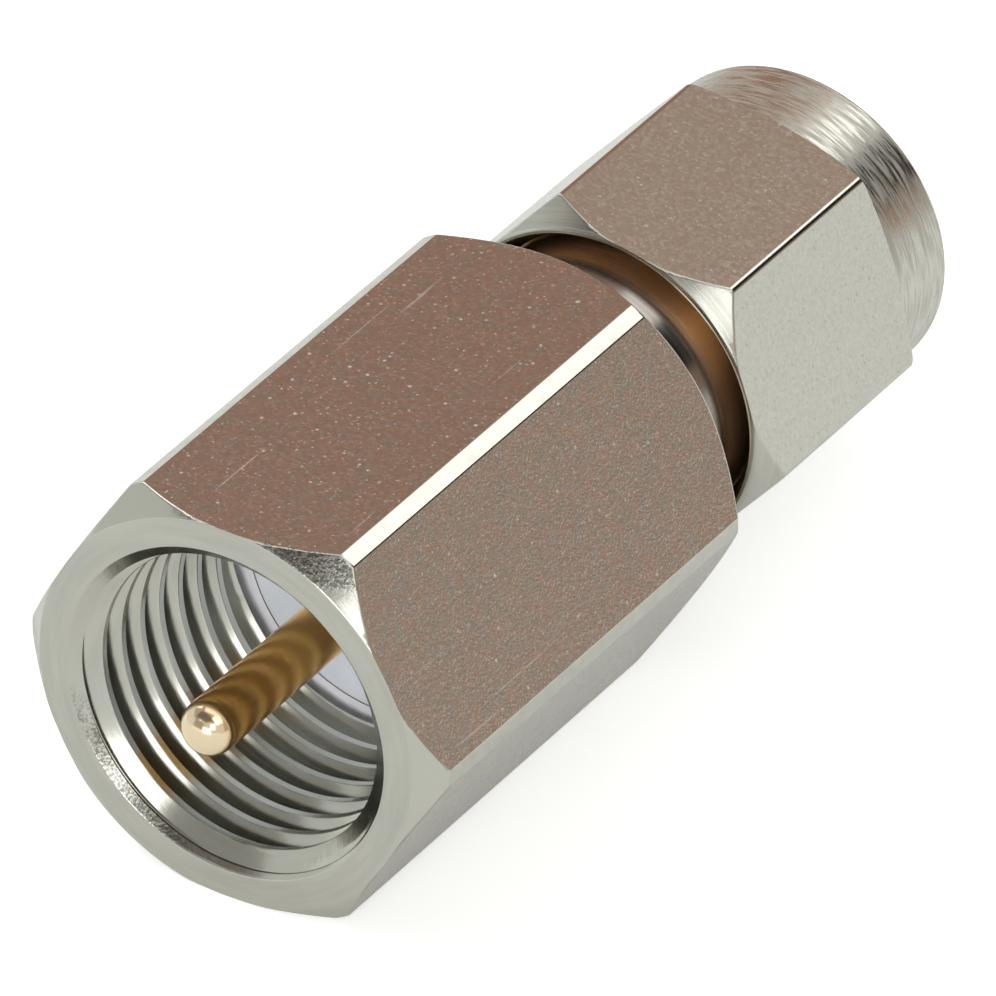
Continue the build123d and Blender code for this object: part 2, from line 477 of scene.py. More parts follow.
class Graph:
    """Nodes and links of one material, with its patterns measured in millimetres."""

    def __init__(self, name: str) -> None:
        """Start a material with a Principled shader.

        Args:
            name: Name of the material.
        """
        self.material = bpy.data.materials.new(name)
        self.material.use_nodes = True
        self.tree = self.material.node_tree
        self.shader = self.tree.nodes["Principled BSDF"]

    def add(self, kind: str, links: dict[str, object] | None = None, **settings: object) -> bpy.types.Node:
        """Add a node.

        Args:
            kind: Blender's name of the node type.
            links: Sockets to join, or plain values to set, by input name.
            settings: Attributes of the node.

        Returns:
            The new node.
        """
        node = self.tree.nodes.new(kind)
        for key, value in settings.items():
            setattr(node, key, value)
        for key, value in (links or {}).items():
            self.feed(node.inputs[key], value)
        return node

    def feed(self, socket: Socket, value: object) -> None:
        """Join a socket to another, or give it a plain value.

        Args:
            socket: The socket to feed.
            value: A socket, or a plain value.
        """
        if isinstance(value, Socket):
            self.tree.links.new(value, socket)
        else:
            socket.default_value = value

    def give(self, socket: str, value: object) -> None:
        """Join one of the shader's own sockets to another, or give it a plain value."""
        self.feed(self.shader.inputs[socket], value)

    def math(self, operation: str, first: object, second: object) -> Socket:
        """Add a Math node of two inputs.

        Args:
            operation: Blender's name of the operation.
            first: A socket or a number.
            second: A socket or a number.

        Returns:
            The node's result.
        """
        node = self.add("ShaderNodeMath", operation=operation)
        self.feed(node.inputs[0], first)
        self.feed(node.inputs[1], second)
        return node.outputs[0]

    def times(self, first: object, second: object) -> Socket:
        """Return the product of two values."""
        return self.math("MULTIPLY", first, second)

    def plus(self, first: object, second: object) -> Socket:
        """Return the sum of two values."""
        return self.math("ADD", first, second)

    def larger(self, first: object, second: object) -> Socket:
        """Return the larger of two values."""
        return self.math("MAXIMUM", first, second)

    def place(self) -> Socket:
        """Find the place on the piece in millimetres.

        Returns:
            The place, as a vector.
        """
        metres = self.add("ShaderNodeTexCoord").outputs["Object"]
        scale = self.add("ShaderNodeVectorMath", {"Scale": 1 / MM, "Vector": metres}, operation="SCALE")
        return scale.outputs["Vector"]

    def station(self, place: Socket) -> Socket:
        """Return how far along the axis a place is, in millimetres."""
        return self.add("ShaderNodeSeparateXYZ", {"Vector": place}).outputs["Y"]

    def stretched(self, place: Socket, factors: tuple[float, float, float]) -> Socket:
        """Multiply each axis of a place by its own factor.

        Args:
            place: The place in millimetres.
            factors: One factor for each axis.

        Returns:
            The stretched place.
        """
        node = self.add("ShaderNodeVectorMath", operation="MULTIPLY")
        self.feed(node.inputs[0], place)
        self.feed(node.inputs[1], factors)
        return node.outputs["Vector"]

    def noise(self, place: Socket, scale: float, detail: float = 2.0) -> Socket:
        """Return plain noise, from 0 to 1, with that many features to the unit of place."""
        node = self.add("ShaderNodeTexNoise", {"Vector": place, "Scale": scale, "Detail": detail})
        return node.outputs["Fac"]

    def ramp(self, value: Socket, low: float, high: float) -> Socket:
        """Return a value spread so that low becomes 0 and high becomes 1."""
        node = self.add("ShaderNodeMapRange", {"Value": value, "From Min": low, "From Max": high})
        return node.outputs["Result"]

    def blend(self, share: Socket, low: object, high: object) -> Socket:
        """Mix two colours.

        Args:
            share: Share of the second colour, from 0 to 1.
            low: The first colour, plain or a socket.
            high: The second colour, plain or a socket.

        Returns:
            The colour.
        """
        node = self.add("ShaderNodeMix", data_type="RGBA")
        self.feed(node.inputs["Factor"], share)
        for index, colour in zip(MIX_INPUTS, (low, high)):
            self.feed(node.inputs[index], (*colour, 1.0) if isinstance(colour, tuple) else colour)
        return node.outputs[MIX_RESULT]

    def rings(self, place: Socket, per_mm: float, around: float) -> Socket:
        """Return a place for lathe marks, which run round the axis.

        Args:
            place: The place in millimetres.
            per_mm: How fast the pattern changes along the section.
            around: How fast it changes round the axis.

        Returns:
            A vector that changes fast along the section and slowly round the axis.
        """
        flat = self.stretched(place, (1.0, 0.0, 1.0))
        radius = self.add("ShaderNodeVectorMath", {"Vector": flat}, operation="LENGTH")
        direction = self.add("ShaderNodeVectorMath", {"Vector": flat}, operation="NORMALIZE")
        along = self.plus(radius.outputs["Value"], self.times(self.station(place), RING_LEAN))
        parts = self.add("ShaderNodeSeparateXYZ", {"Vector": direction.outputs["Vector"]}).outputs
        joined = self.add(
            "ShaderNodeCombineXYZ",
            {
                "X": self.times(parts["X"], around),
                "Y": self.times(along, per_mm),
                "Z": self.times(parts["Z"], around),
            },
        )
        return joined.outputs["Vector"]

    def bump(self, height: Socket, depth_mm: float) -> None:
        """Give the shader's surface a relief.

        Args:
            height: The relief, from 0 to 1.
            depth_mm: Its depth in millimetres.
        """
        node = self.add("ShaderNodeBump", {"Height": height, "Distance": depth_mm * MM, "Strength": 1.0})
        self.feed(self.shader.inputs["Normal"], node.outputs["Normal"])


class Tooling(Enum):
    """How a nickel-plated surface was shaped before it was plated."""

    DRAWN = "drawn flat"
    CORNER = "smooth corner"
    TURNED = "turned face"
    THREADED = "tapped thread"
    BRUSHED = "brushed collar"
    FACED = "faced shoulder"
    CHATTERED = "chattered chamfer"
    BARE = "bare neck"


@dataclass(frozen=True)
class NickelPlate:
    """Bright nickel plate over one kind of tooling."""

    tooling: Tooling
    colour: Colour = (0.61, 0.61, 0.55)
    dull_colour: Colour = (0.54, 0.54, 0.49)
    warm_colour: Colour = (0.625, 0.58, 0.52)
    cool_colour: Colour = (0.545, 0.58, 0.545)
    speck_colour: Colour = (0.97, 0.95, 0.90)
    pit_colour: Colour = (0.29, 0.29, 0.27)
    chatter_top: tuple[float, float] = (4.1, 4.25)
    chatter_low: tuple[float, float] = (-4.7, -5.3)
    faced_colour: Colour = (0.80, 0.80, 0.83)
    faced_shade: Colour = (0.72, 0.72, 0.76)
    coarse_specks: tuple[float, float, float] = (4.0, 0.22, 0.4)
    fine_specks: tuple[float, float, float] = (9.0, 0.34, 0.5)
    scratch_grain: tuple[float, float, float] = (11.0, 0.25, 11.0)
    rough_speck: float = 0.5
    lit_speck: float = 0.6
    coarse_end: float = 14.0
    coarse_fade: float = 0.5
    slot: str = "nickel_plate"

    def material(self) -> bpy.types.Material:
        """Make the plate, with the marks of its tooling.

        Returns:
            The finished material.
        """
        graph = Graph(f"nickel_{self.tooling.name.lower()}")
        graph.give("Metallic", 1.0)
        dress = {
            Tooling.DRAWN: self.dress_drawn,
            Tooling.CORNER: self.dress_corner,
            Tooling.TURNED: self.dress_turned,
            Tooling.THREADED: self.dress_threaded,
            Tooling.BRUSHED: self.dress_brushed,
            Tooling.FACED: self.dress_faced,
            Tooling.CHATTERED: self.dress_chattered,
        }[self.tooling]
        dress(graph, graph.place())
        return graph.material

    def tint(self, graph: Graph, share: Socket) -> None:
        """Colour the plate between its bright and its dull tone."""
        tone = graph.blend(share, self.colour, self.dull_colour)
        graph.give("Base Color", tone)

    def dress_drawn(self, graph: Graph, place: Socket) -> None:
        """Give a flat its fine pits, light specks and lengthwise scratches.

        Args:
            graph: The material's graph.
            place: The place in millimetres.
        """
        coarse = self.specks(graph, place, *self.coarse_specks)
        fine = self.specks(graph, place, *self.fine_specks)
        lines = graph.noise(graph.stretched(place, self.scratch_grain), 1.0, 0.0)
        scratches = graph.times(graph.ramp(lines, 0.8, 0.85), 0.4)
        marks = graph.larger(graph.larger(coarse, graph.times(fine, 0.7)), scratches)
        grain = graph.noise(place, 9.0, 3.0)
        mottle = graph.plus(graph.times(graph.ramp(grain, 0.35, 0.8), 0.2), 0.13)
        coarser = graph.ramp(graph.station(place), self.coarse_end + self.coarse_fade, self.coarse_end)
        rough = graph.times(marks, graph.plus(graph.times(coarser, 0.35), 0.65))
        rough = graph.times(rough, self.rough_speck)
        graph.give("Roughness", graph.plus(rough, mottle))
        plain = graph.ramp(graph.noise(place, 11.0, 3.0), 0.35, 0.7)
        even = graph.blend(plain, self.colour, self.dull_colour)
        cloud = graph.ramp(graph.noise(place, 3.2, 4.0), 0.36, 0.64)
        cloudy = graph.blend(cloud, self.warm_colour, self.cool_colour)
        tone = graph.blend(coarser, even, cloudy)
        lit = graph.times(marks, graph.times(coarser, self.lit_speck))
        graph.give("Base Color", graph.blend(lit, tone, self.speck_colour))
        depth = graph.plus(graph.times(coarser, 0.7), 0.3)
        graph.bump(graph.times(graph.noise(place, 15.0, 2.0), depth), 0.007)

    def dress_corner(self, graph: Graph, place: Socket) -> None:
        """Give a long corner the clean gloss of the bar it was turned from.

        Args:
            graph: The material's graph.
            place: The place in millimetres.
        """
        cloud = graph.noise(place, 3.0, 3.0)
        graph.give("Roughness", graph.ramp(cloud, -0.3, 6.0))
        self.tint(graph, graph.ramp(cloud, 0.4, 0.75))

    def specks(self, graph: Graph, place: Socket, per_mm: float, size: float, share: float) -> Socket:
        """Return scattered round specks.

        Args:
            graph: The material's graph.
            place: The place in millimetres.
            per_mm: Cells to the millimetre.
            size: Radius of a speck, as a share of its cell.
            share: Share of the cells that have one.

        Returns:
            The specks, from 0 to 1.
        """
        cells = graph.add("ShaderNodeTexVoronoi", {"Vector": place, "Scale": per_mm, "Randomness": 1.0})
        pick = graph.add("ShaderNodeSeparateColor", {"Color": cells.outputs["Color"]})
        dot = graph.ramp(cells.outputs["Distance"], size, 0.3 * size)
        return graph.times(dot, graph.ramp(pick.outputs[0], 1.0 - share, 1.0))

    def dress_turned(self, graph: Graph, place: Socket) -> None:
        """Give a turned face the fine rings that the lathe tool leaves.

        Args:
            graph: The material's graph.
            place: The place in millimetres.
        """
        fine = graph.noise(graph.rings(place, 26.0, 1.6), 1.0, 3.0)
        broad = graph.noise(graph.rings(place, 5.0, 2.5), 1.0, 2.0)
        graph.give("Roughness", graph.ramp(broad, -0.9, 6.0))
        self.tint(graph, graph.ramp(broad, 0.35, 0.75))
        graph.bump(graph.plus(fine, graph.times(broad, 0.3)), 0.004)

    def dress_threaded(self, graph: Graph, place: Socket) -> None:
        """Give a tapped thread the faint drag marks of the tap.

        Args:
            graph: The material's graph.
            place: The place in millimetres.
        """
        drag = graph.noise(graph.rings(place, 9.0, 3.0), 1.0, 3.0)
        graph.give("Roughness", graph.ramp(drag, -0.8, 7.0))
        self.tint(graph, graph.ramp(drag, 0.4, 0.8))
        graph.bump(drag, 0.004)

    def dress_brushed(self, graph: Graph, place: Socket) -> None:
        """Give a collar the uneven scratches of a brush that ran round it.

        Args:
            graph: The material's graph.
            place: The place in millimetres.
        """
        fine = graph.noise(graph.rings(place, 18.0, 5.0), 1.0, 4.0)
        broad = graph.noise(graph.rings(place, 6.0, 4.0), 1.0, 2.0)
        streaks = graph.times(graph.ramp(fine, 0.42, 0.62), 0.34)
        graph.give("Roughness", graph.plus(streaks, graph.ramp(broad, -1.2, 6.0)))
        self.tint(graph, graph.ramp(fine, 0.4, 0.7))
        graph.bump(graph.plus(fine, graph.times(broad, 0.4)), 0.014)

    def dress_faced(self, graph: Graph, place: Socket) -> None:
        """Give a shoulder the dull face that a drill leaves.

        Args:
            graph: The material's graph.
            place: The place in millimetres.
        """
        marks = graph.noise(graph.rings(place, 10.0, 2.0), 1.0, 2.0)
        graph.give("Metallic", 0.1)
        graph.give("Roughness", graph.ramp(marks, -1.2, 1.9))
        tone = graph.blend(graph.ramp(marks, 0.4, 0.7), self.faced_colour, self.faced_shade)
        graph.give("Base Color", tone)

    def dress_chattered(self, graph: Graph, place: Socket) -> None:
        """Give a chamfer the torn, glittering marks of a tool that chattered.

        Args:
            graph: The material's graph.
            place: The place in millimetres.
        """
        torn = graph.noise(place, 15.0, 2.0)
        rings = graph.noise(graph.rings(place, 20.0, 6.0), 1.0, 3.0)
        spot = graph.add("ShaderNodeSeparateXYZ", {"Vector": place}).outputs
        aside = graph.plus(spot["X"], spot["Z"])
        upper = graph.times(graph.ramp(spot["Z"], *self.chatter_top), graph.ramp(spot["X"], 0.0, 1.0))
        chatter = graph.larger(upper, graph.ramp(aside, *self.chatter_low))
        graph.give("Roughness", graph.ramp(torn, -0.4, 5.0))
        pits = graph.ramp(graph.plus(torn, graph.times(rings, 0.5)), 0.62, 0.86)
        bright = graph.larger(pits, graph.ramp(chatter, 1.0, 0.0))
        tone = graph.blend(bright, self.pit_colour, self.colour)
        graph.give("Base Color", tone)
        height = graph.plus(torn, graph.times(rings, 0.25))
        graph.bump(graph.times(height, graph.ramp(chatter, -0.12, 1.0)), 0.008)


@dataclass(frozen=True)
class BareBrass:
    """Turned brass of the neck and the nut's hole, which the plating hardly reached."""

    colour: Colour = (0.82, 0.70, 0.57)
    dull_colour: Colour = (0.77, 0.645, 0.52)
    # Painted shade along the neck: a dim grey near the body's rear face, a dark band just before the nut's
    # hole, then the plain brass
    shaded_grey_colour: Colour = (0.36, 0.33, 0.30)
    painted_shade_colour: Colour = (0.15, 0.11, 0.085)
    painted_shade_start: float = 14.45
    painted_shade_middle: float = 14.65
    painted_shade_end: float = 14.9

    def material(self) -> bpy.types.Material:
        """Make the brass, with the marks of the lathe tool and painted shade along the axis.

        Returns:
            The finished material.
        """
        graph = Graph("bare_brass")
        place = graph.place()
        marks = graph.noise(graph.rings(place, 12.0, 1.5), 1.0, 3.0)
        station = graph.station(place)
        clean = graph.blend(graph.ramp(marks, 0.35, 0.7), self.colour, self.dull_colour)
        # Painted shade: dim grey near the body, darkest just before the nut's hole, clean brass from there
        # on
        painted_shade = graph.ramp(station, self.painted_shade_start, self.painted_shade_middle)
        tone = graph.blend(painted_shade, self.shaded_grey_colour, self.painted_shade_colour)
        tone = graph.blend(graph.ramp(station, self.painted_shade_middle, self.painted_shade_end), tone, clean)
        graph.give("Base Color", tone)
        graph.give("Metallic", 1.0)
        graph.give("Roughness", graph.ramp(marks, -0.6, 4.4))
        graph.bump(marks, 0.003)
        return graph.material


@dataclass(frozen=True)
class GoldPlate:
    """Gold plate on the turned centre contact."""

    colour: Colour = (1.0, 0.63, 0.24)
    worn_colour: Colour = (0.95, 0.54, 0.18)
    polished_colour: Colour = (1.0, 0.83, 0.58)
    polish_start: float = -0.85
    polish_end: float = -0.55
    slot: str = "gold_plate"

    def material(self) -> bpy.types.Material:
        """Make the gold, with faint lathe rings and a paler dome.

        Returns:
            The finished material.
        """
        graph = Graph("gold_plate")
        place = graph.place()
        rings = graph.noise(graph.rings(place, 14.0, 0.8), 1.0, 2.0)
        tone = graph.blend(graph.ramp(rings, 0.3, 0.7), self.colour, self.worn_colour)
        station = graph.station(place)
        polish = graph.ramp(station, self.polish_end, self.polish_start)
        tone = graph.blend(polish, tone, self.polished_colour)
        graph.give("Base Color", tone)
        graph.give("Metallic", 1.0)
        graph.give("Roughness", graph.ramp(rings, -1.0, 9.0))
        graph.bump(rings, 0.0006)
        return graph.material


@dataclass(frozen=True)
class WhiteBush:
    """Smooth white fluoropolymer, with a cool tone and faint turning rings."""

    colour: Colour = (0.80, 0.83, 0.88)
    shade_colour: Colour = (0.75, 0.79, 0.86)
    slot: str = "ptfe"

    def material(self) -> bpy.types.Material:
        """Make the bush's waxy white.

        Returns:
            The finished material.
        """
        graph = Graph("white_bush")
        place = graph.place()
        rings = graph.noise(graph.rings(place, 12.0, 1.0), 1.0, 2.0)
        cloud = graph.noise(place, 1.1)
        tone = graph.blend(graph.ramp(cloud, 0.35, 0.7), self.colour, self.shade_colour)
        graph.give("Base Color", tone)
        graph.give("Roughness", graph.ramp(rings, -0.6, 2.4))
        graph.give("Subsurface Weight", 0.25)
        graph.give("Subsurface Radius", (0.5, 0.55, 0.6))
        graph.give("Subsurface Scale", 1.0 * MM)
        graph.bump(rings, 0.004)
        return graph.material


@dataclass(frozen=True)
class SpringBronze:
    """Plain drawn bronze strip."""

    colour: Colour = (0.62, 0.42, 0.22)
    tarnish_colour: Colour = (0.45, 0.28, 0.14)
    slot: str = "spring_bronze"

    def material(self) -> bpy.types.Material:
        """Make the bronze, a little tarnished in clouds.

        Returns:
            The finished material.
        """
        graph = Graph("spring_bronze")
        place = graph.place()
        cloud = graph.noise(place, 2.2, 3.0)
        tone = graph.blend(graph.ramp(cloud, 0.35, 0.7), self.colour, self.tarnish_colour)
        graph.give("Base Color", tone)
        graph.give("Metallic", 1.0)
        graph.give("Roughness", graph.ramp(cloud, -0.6, 2.6))
        return graph.material


@dataclass(frozen=True)
class RedSilicone:
    """Soft moulded silicone rubber."""

    colour: Colour = (0.50, 0.09, 0.05)
    bloom_colour: Colour = (0.56, 0.14, 0.09)
    slot: str = "silicone"

    def material(self) -> bpy.types.Material:
        """Make the rubber, matt with a fine moulded grain.

        Returns:
            The finished material.
        """
        graph = Graph("red_silicone")
        place = graph.place()
        grain = graph.noise(place, 16.0, 3.0)
        tone = graph.blend(graph.ramp(grain, 0.35, 0.7), self.colour, self.bloom_colour)
        graph.give("Base Color", tone)
        graph.give("Roughness", graph.ramp(grain, -1.5, 2.0))
        graph.bump(grain, 0.01)
        return graph.material


# Pieces of the adapter


@dataclass
class Piece:
    """A piece that stands for one CAD node and moves with a body."""

    node: str = ""
    body: str = "adapter"

    def place(
        self, mesh: bpy.types.Mesh, name: str, slot: str, finishes: list[bpy.types.Material]
    ) -> bpy.types.Object:
        """Bring a finished mesh to metres and put it on the adapter.

        Args:
            mesh: The finished mesh in millimetres.
            name: Name of the piece.
            slot: The record's material slot, which is not used.
            finishes: Its materials, in the order of its faces' numbers.

        Returns:
            The piece.
        """
        mesh.transform(Matrix.Scale(MM, 4))
        mesh.name = name
        for finish in finishes:
            mesh.materials.append(finish)
        piece = bpy.data.objects.new(name, mesh)
        bpy.context.scene.collection.objects.link(piece)
        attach(piece, self.body)
        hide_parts(self.node)
        log.info("%s: %d faces, on %s", name, len(mesh.polygons), self.body)
        return piece


@dataclass
class HexagonPiece(Piece):
    """A piece turned from hexagon bar, with its flats left as drawn."""

    across_flats: float = 0.0
    thread_crest_r: float = 0.0
    thread_root_r: float = 0.0
    thread_pitch: float = 0.0
    thread_turn: float = 0.0

    def tap(self, start_y: float, end_y: float) -> bmesh.types.BMesh:
        """Return the tap that cuts the piece's thread.

        Args:
            start_y: Where the thread starts along the axis.
            end_y: Where it ends.

        Returns:
            The closed tap, a little longer than the thread.
        """
        return thread_rod(
            self.thread_crest_r,
            self.thread_root_r,
            self.thread_pitch,
            start_y - TAP_OVERRUN,
            end_y + TAP_OVERRUN,
            self.thread_turn,
        )

    def worked(self, radius: float, y: float) -> Tooling:
        """Say how the piece was worked at a place of its section."""
        return Tooling.TURNED

    def mark_tooling(self, mesh: bpy.types.Mesh) -> None:
        """Number the faces by how they were shaped, in the order of the Tooling options.

        Args:
            mesh: The mesh, in millimetres.
        """
        order = list(Tooling)
        for face in mesh.polygons:
            radius = math.hypot(face.center.x, face.center.z)
            if abs(face.normal.y) < FLAT_TILT and radius > self.across_flats / 2 - FLAT_MARGIN:
                flat = radius < self.across_flats / 2 * FLAT_REACH
                tooling = Tooling.DRAWN if flat else Tooling.CORNER
            else:
                tooling = self.worked(radius, face.center.y)
            face.material_index = order.index(tooling)


@dataclass
class AdapterBody(HexagonPiece):
    """Hexagon body with the threaded socket, the neck for the nut and the thin plug sleeve."""

    node: str = "adapter_body"
    across_flats: float = 9.5
    corner_r: float = 5.375
    length: float = 13.0
    front_chamfer: float = 0.6
    rear_chamfer: float = 0.7
    neck_r: float = 3.5
    neck_fillet: float = 0.3
    fillet_steps: int = 6
    neck_end: float = 17.9
    neck_chamfer: float = 0.15
    groove_r: float = 3.16
    groove_start: float = 16.2
    groove_end: float = 16.8
    sleeve_r: float = 2.295
    sleeve_end: float = 19.9
    sleeve_chamfer: float = 0.08
    socket_depth: float = 6.2
    relief_start: float = 5.85
    relief_r: float = 4.02
    mouth_r: float = 4.08
    thread_crest_r: float = 3.594
    thread_root_r: float = 4.0
    thread_pitch: float = 0.75
    thread_turn: float = 77.0
    bush_r: float = 3.46
    flange_start: float = 10.2
    flange_end: float = 11.2
    flange_r: float = 2.61
    core_r: float = 2.06
    edge_width: float = 0.05
    cone_margin: float = 0.02
    strip_round: float = 0.14

    def outline(self) -> Outline:
        """Draw the half-section of the body, with a plain bore in place of the thread.

        Returns:
            The (radius, y) points, in order.
        """
        return [
            (self.mouth_r, 0.0),
            (self.corner_r - self.front_chamfer, 0.0),
            (self.corner_r, self.front_chamfer),
            (self.corner_r, self.length - self.rear_chamfer),
            (self.corner_r - self.rear_chamfer, self.length),
            *quarter_turn(self.neck_r, self.length, self.neck_fillet, self.neck_fillet, self.fillet_steps),
            (self.neck_r, self.groove_start),
            (self.groove_r, self.groove_start),
            (self.groove_r, self.groove_end),
            (self.neck_r, self.groove_end),
            (self.neck_r, self.neck_end - self.neck_chamfer),
            (self.neck_r - self.neck_chamfer, self.neck_end),
            (self.sleeve_r, self.neck_end),
            (self.sleeve_r, self.sleeve_end - self.sleeve_chamfer),
            (self.sleeve_r - self.sleeve_chamfer, self.sleeve_end),
            (self.core_r, self.sleeve_end),
            (self.core_r, self.flange_end),
            (self.flange_r, self.flange_end),
            (self.flange_r, self.flange_start),
            (self.bush_r, self.flange_start),
            (self.bush_r, self.socket_depth),
            (self.relief_r, self.socket_depth),
            (self.relief_r, self.relief_start),
            (self.thread_crest_r, self.relief_start),
            (self.thread_crest_r, self.mouth_r - self.thread_crest_r),
        ]

    def worked(self, radius: float, y: float) -> Tooling:
        """Say how the body was worked at a place of its section.

        Args:
            radius: Distance from the axis.
            y: Where it is along the axis.

        Returns:
            The kind of tooling there.
        """
        chamfer_off = radius - y - (self.corner_r - self.front_chamfer)
        bevel_off = radius + y - self.mouth_r
        if y < self.front_chamfer and min(abs(chamfer_off), abs(bevel_off)) < self.cone_margin:
            return Tooling.CHATTERED
        if self.relief_start < y < self.flange_start and self.bush_r < radius < self.relief_r:
            return Tooling.FACED
        if y < self.socket_depth and radius < self.mouth_r:
            return Tooling.THREADED
        if y > self.length and radius > self.groove_r:
            return Tooling.BARE
        return Tooling.TURNED

    def build(self, finishes: list[bpy.types.Material]) -> bpy.types.Object:
        """Turn, flatten, round, tap and place the body.

        Args:
            finishes: Finishes in the order of the Tooling options.

        Returns:
            The finished piece.
        """
        blank = spun(eased(self.outline(), self.edge_width, self.mouth_r - self.edge_width))
        cut_hexagon(blank, self.across_flats)
        ease_strips(blank, self.across_flats, self.corner_r, self.strip_round)
        ease_arcs(blank, self.across_flats, self.corner_r - self.front_chamfer, 0.0, 1.0)
        ease_arcs(blank, self.across_flats, self.corner_r - self.rear_chamfer, self.length, -1.0)
        mesh = shaded(carved(blank, [self.tap(0.0, self.relief_start)]), flats=True)
        self.mark_tooling(mesh)
        return self.place(mesh, "hexagon_body", NickelPlate.slot, finishes)


@dataclass
class CouplingNut(HexagonPiece):
    """Hexagon nut with a round collar, which turns on the neck of the body."""

    node: str = "coupling_nut"
    body: str = "nut"
    across_flats: float = 8.0
    turn: float = 11.2
    corner_r: float = 4.592
    start: float = 15.1
    end: float = 23.55
    chamfer: float = 0.556
    collar_r: float = 3.88
    collar_start: float = 21.38
    shoulder_angle: float = 24.0
    rim_chamfer: float = 0.15
    hole_r: float = 3.56
    hole_flare: float = 0.34
    flare_length: float = 0.8
    groove_r: float = 3.71
    groove_start: float = 16.2
    groove_end: float = 16.8
    hole_end: float = 18.0
    relief_r: float = 3.25
    relief_end: float = 18.7
    mouth_r: float = 3.275
    thread_crest_r: float = 2.793
    thread_root_r: float = 3.175
    thread_pitch: float = 25.4 / 36
    edge_width: float = 0.065
    corner_round: float = 0.185
    brush_margin: float = 0.05

    def outline(self) -> Outline:
        """Draw the half-section of the nut, with a plain bore in place of the thread.

        Returns:
            The (radius, y) points, in order.
        """
        run = (self.corner_r - self.collar_r) * math.tan(math.radians(self.shoulder_angle))
        return [
            (self.hole_r + self.hole_flare, self.start),
            (self.corner_r - self.chamfer, self.start),
            (self.corner_r, self.start + self.chamfer),
            (self.corner_r, self.collar_start - run),
            (self.collar_r, self.collar_start),
            (self.collar_r, self.end - self.rim_chamfer),
            (self.collar_r - self.rim_chamfer, self.end),
            (self.mouth_r, self.end),
            (self.thread_crest_r, self.end - (self.mouth_r - self.thread_crest_r)),
            (self.thread_crest_r, self.relief_end),
            (self.relief_r, self.relief_end),
            (self.relief_r, self.hole_end),
            (self.hole_r, self.hole_end),
            (self.hole_r, self.groove_end),
            (self.groove_r, self.groove_end),
            (self.groove_r, self.groove_start),
            (self.hole_r, self.groove_start),
            (self.hole_r, self.start + self.flare_length),
        ]

    def worked(self, radius: float, y: float) -> Tooling:
        """Say how the nut was worked at a place of its section.

        Args:
            radius: Distance from the axis.
            y: Where it is along the axis.

        Returns:
            The kind of tooling there.
        """
        if y > self.hole_end and radius < self.mouth_r:
            return Tooling.THREADED
        if self.start < y < self.groove_start and radius < self.hole_r + self.hole_flare:
            return Tooling.BARE
        if y > self.collar_start and radius > self.collar_r - self.brush_margin:
            return Tooling.BRUSHED
        return Tooling.TURNED

    def build(self, finishes: list[bpy.types.Material]) -> bpy.types.Object:
        """Turn, flatten, round, tap and place the nut.

        Args:
            finishes: Finishes in the order of the Tooling options.

        Returns:
            The finished piece.
        """
        blank = spun(eased(self.outline(), self.edge_width, self.hole_r + self.hole_flare - self.edge_width))
        cut_hexagon(blank, self.across_flats)
        round_corners(blank, self.across_flats, self.corner_round)
        ease_arcs(blank, self.across_flats, self.corner_r - self.chamfer, self.start, 1.0)
        spin_back = Matrix.Rotation(math.radians(self.turn), 3, "Y")
        bmesh.ops.rotate(blank, verts=blank.verts[:], cent=(0, 0, 0), matrix=spin_back)
        mesh = shaded(carved(blank, [self.tap(self.relief_end, self.end)]), flats=True)
        self.mark_tooling(mesh)
        return self.place(mesh, "coupling_nut_dressed", NickelPlate.slot, finishes)


@dataclass
class CentreContact(Piece):
    """Gold pin through the whole adapter, domed at the socket end and pointed at the other."""

    node: str = "centre_contact"
    tip: float = -1.15
    pin_r: float = 0.65
    tip_round: float = 0.6
    tip_steps: int = 16
    pin_end: float = 6.2
    shank_r: float = 0.9
    collar_r: float = 1.3
    collar_start: float = 9.4
    collar_end: float = 10.2
    core_r: float = 0.635
    core_end: float = 19.9
    point_r: float = 0.46
    point_start: float = 21.75
    point_end: float = 22.2
    point_tip_r: float = 0.15
    steps: int = 72

    def outline(self) -> Outline:
        """Draw the half-section of the contact, with its domed end as an arc.

        Returns:
            The (radius, y) points, in order.
        """
        return [
            (0.0, self.tip),
            *quarter_turn(self.pin_r, self.tip, -self.tip_round, self.tip_round, self.tip_steps),
            (self.pin_r, self.pin_end),
            (self.shank_r, self.pin_end),
            (self.shank_r, self.collar_start),
            (self.collar_r, self.collar_start),
            (self.collar_r, self.collar_end),
            (self.core_r, self.collar_end),
            (self.core_r, self.core_end),
            (self.point_r, self.core_end),
            (self.point_r, self.point_start),
            (self.point_tip_r, self.point_end),
            (0.0, self.point_end),
        ]

    def build(self, finish: GoldPlate) -> bpy.types.Object:
        """Turn and place the contact, and return it."""
        mesh = shaded(carved(spun(self.outline(), self.steps), []))
        return self.place(mesh, "gold_contact", finish.slot, [finish.material()])


@dataclass
class Bush(Piece):
    """A white bush of two bores or two diameters, given by its half-section."""

    name: str = ""
    section: tuple[tuple[float, float], ...] = ()
    edge_width: float = 0.04

    def build(self, finish: WhiteBush, material: bpy.types.Material) -> bpy.types.Object:
        """Turn the bush, break its edges and place it.

        Args:
            finish: The piece's finish.
            material: That finish's material.

        Returns:
            The finished piece.
        """
        blank = spun(list(self.section))
        round_edges(blank, self.edge_width, 2)
        mesh = shaded(carved(blank, []))
        return self.place(mesh, self.name, finish.slot, [material])


